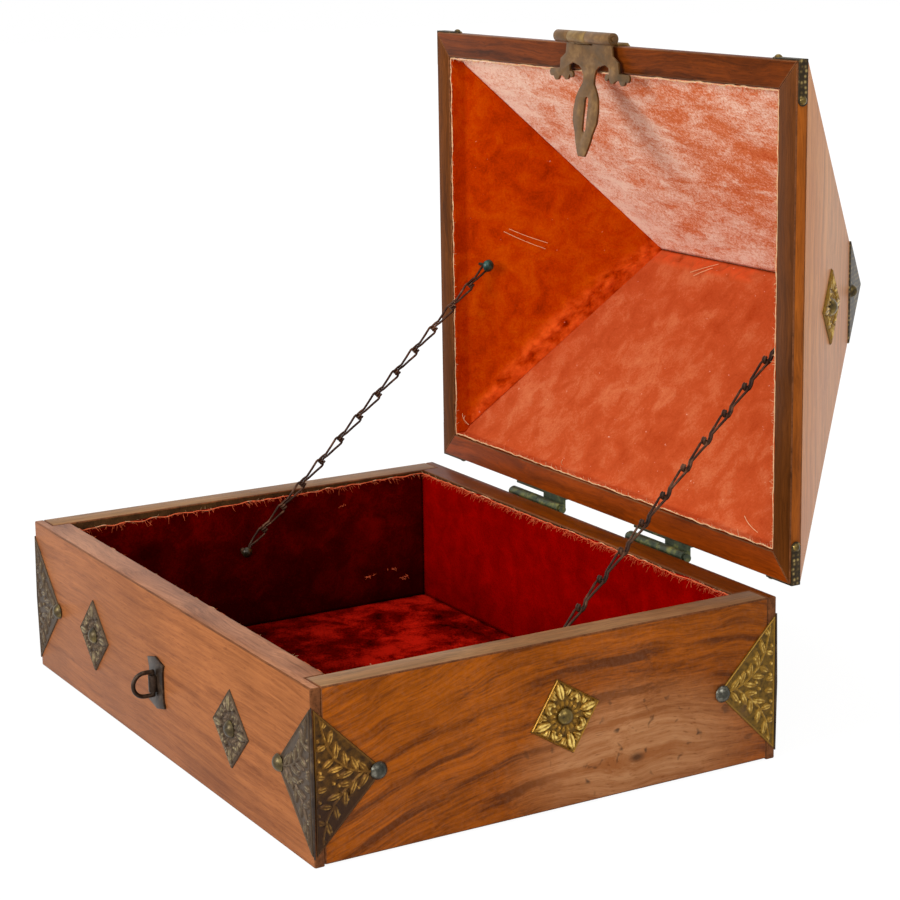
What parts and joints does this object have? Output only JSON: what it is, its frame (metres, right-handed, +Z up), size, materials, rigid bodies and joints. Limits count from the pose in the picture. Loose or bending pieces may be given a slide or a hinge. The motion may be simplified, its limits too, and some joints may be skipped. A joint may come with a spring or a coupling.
{
  "type": "donation box",
  "caption": "Low hardwood box with a hipped lid standing open on chains, velvet linings, brass corner plates, and a hasp that closes over a staple.",
  "frame": {"origin": "centre of the box's underside, on the table", "axes": "+Z up, -Y out of the front that carries the staple, +X along the hinge towards the right side"},
  "size_m": [0.3412, 0.3829, 0.3437],
  "materials": {
    "oak_front": "satin",
    "oak_side": "satin",
    "velvet_red": "matte",
    "velvet_coral": "matte",
    "brass_plate": "satin",
    "brass_nail": "polished",
    "dark_brass": "aged",
    "green_brass": "aged"
  },
  "bodies": {
    "box": {"front_board": "oak_front", "back_board": "oak_front", "left_side_board": "oak_side", "right_side_board": "oak_side", "bottom_board": "oak_side", "front_lining": "velvet_red", "back_lining": "velvet_red", "left_lining": "velvet_red", "right_lining": "velvet_red", "floor_lining": "velvet_red", "corner_plate_front_left": "brass_plate", "corner_plate_front_right": "brass_plate", "corner_plate_back_left": "brass_plate", "corner_plate_back_right": "brass_plate", "front_rosette_left": "brass_plate", "front_rosette_right": "brass_plate", "side_rosette_left": "brass_plate", "side_rosette_right": "brass_plate", "box_brass_nails": "brass_nail", "staple_plate": "dark_brass", "box_hinge_leaf_left": "green_brass", "box_hinge_leaf_right": "green_brass", "hinge_pin_left": "brass_nail", "hinge_pin_right": "brass_nail", "box_hinge_screws": "brass_nail", "box_chain_nails": "brass_nail"},
    "lid": {"lid_front_rail": "oak_front", "lid_back_rail": "oak_front", "lid_left_stile": "oak_side", "lid_right_stile": "oak_side", "roof_front_board": "oak_front", "roof_back_board": "oak_front", "roof_left_board": "oak_side", "roof_right_board": "oak_side", "lid_front_lining": "velvet_coral", "lid_back_lining": "velvet_coral", "lid_left_lining": "velvet_coral", "lid_right_lining": "velvet_coral", "ridge_cap_left": "brass_plate", "ridge_cap_right": "brass_plate", "lid_rosette_left": "brass_plate", "lid_rosette_right": "brass_plate", "lid_rim_straps": "brass_plate", "lid_brass_nails": "brass_nail", "lid_hinge_leaf_left": "green_brass", "lid_hinge_leaf_right": "green_brass", "lid_hinge_screws": "brass_nail", "hasp_fixed_leaf": "dark_brass", "lid_chain_nails": "brass_nail", "hasp_pin": "brass_nail"},
    "hasp_leaf": {"hasp_leaf": "dark_brass"},
    "staple_loop": {"staple_loop": "dark_brass"},
    "chain_left_1": {"chain_left_1": "dark_brass"},
    "chain_left_2": {"chain_left_2": "dark_brass"},
    "chain_left_3": {"chain_left_3": "dark_brass"},
    "chain_right_1": {"chain_right_1": "dark_brass"},
    "chain_right_2": {"chain_right_2": "dark_brass"},
    "chain_right_3": {"chain_right_3": "dark_brass"}
  },
  "joints": [
    {"name": "lid_hinge", "type": "hinge", "parent": "box", "child": "lid", "pos_m": [0, 0.131, 0.0805], "axis": [1, 0, 0], "range_deg": [0, 90]},
    {"name": "hasp_swing", "type": "hinge", "parent": "lid", "child": "hasp_leaf", "pos_m": [-0.0015, 0.127, 0.3405], "axis": [-1, 0, 0], "range_deg": [0, 120]},
    {"name": "loop_swivel", "type": "hinge", "parent": "box", "child": "staple_loop", "pos_m": [-0.0015, -0.1276, 0.037], "axis": [0, 0, 1], "range_deg": [-88, 88]},
    {"name": "chain_left_turn_1", "type": "hinge", "parent": "box", "child": "chain_left_1", "pos_m": [-0.146, -0.0095, 0.052], "axis": [1, 0, 0], "range_deg": [0, 230.1]},
    {"name": "chain_left_turn_2", "type": "hinge", "parent": "chain_left_1", "child": "chain_left_2", "pos_m": [-0.14513, 0.0134, 0.07374], "axis": [1, 0, 0], "range_deg": [-141.9, 0]},
    {"name": "chain_left_turn_3", "type": "hinge", "parent": "chain_left_2", "child": "chain_left_3", "pos_m": [-0.14233, 0.08709, 0.1437], "axis": [1, 0, 0], "range_deg": [-130.7, 0]},
    {"name": "chain_right_turn_1", "type": "hinge", "parent": "box", "child": "chain_right_1", "pos_m": [0.146, -0.0095, 0.052], "axis": [1, 0, 0], "range_deg": [0, 230.6]},
    {"name": "chain_right_turn_2", "type": "hinge", "parent": "chain_right_1", "child": "chain_right_2", "pos_m": [0.14507, 0.01506, 0.07532], "axis": [1, 0, 0], "range_deg": [-143.8, 0]},
    {"name": "chain_right_turn_3", "type": "hinge", "parent": "chain_right_2", "child": "chain_right_3", "pos_m": [0.14227, 0.08876, 0.14528], "axis": [1, 0, 0], "range_deg": [-128.8, 0]}
  ],
  "couplings": [
    {"joint": "hasp_swing", "follows": "lid_hinge", "ratio": 1.3333},
    {"joint": "chain_left_turn_1", "follows": "lid_hinge", "ratio": 2.5554},
    {"joint": "chain_left_turn_2", "follows": "lid_hinge", "ratio": -1.5756},
    {"joint": "chain_left_turn_3", "follows": "lid_hinge", "ratio": -1.4509},
    {"joint": "chain_right_turn_1", "follows": "lid_hinge", "ratio": 2.561},
    {"joint": "chain_right_turn_2", "follows": "lid_hinge", "ratio": -1.5968},
    {"joint": "chain_right_turn_3", "follows": "lid_hinge", "ratio": -1.4301}
  ]
}
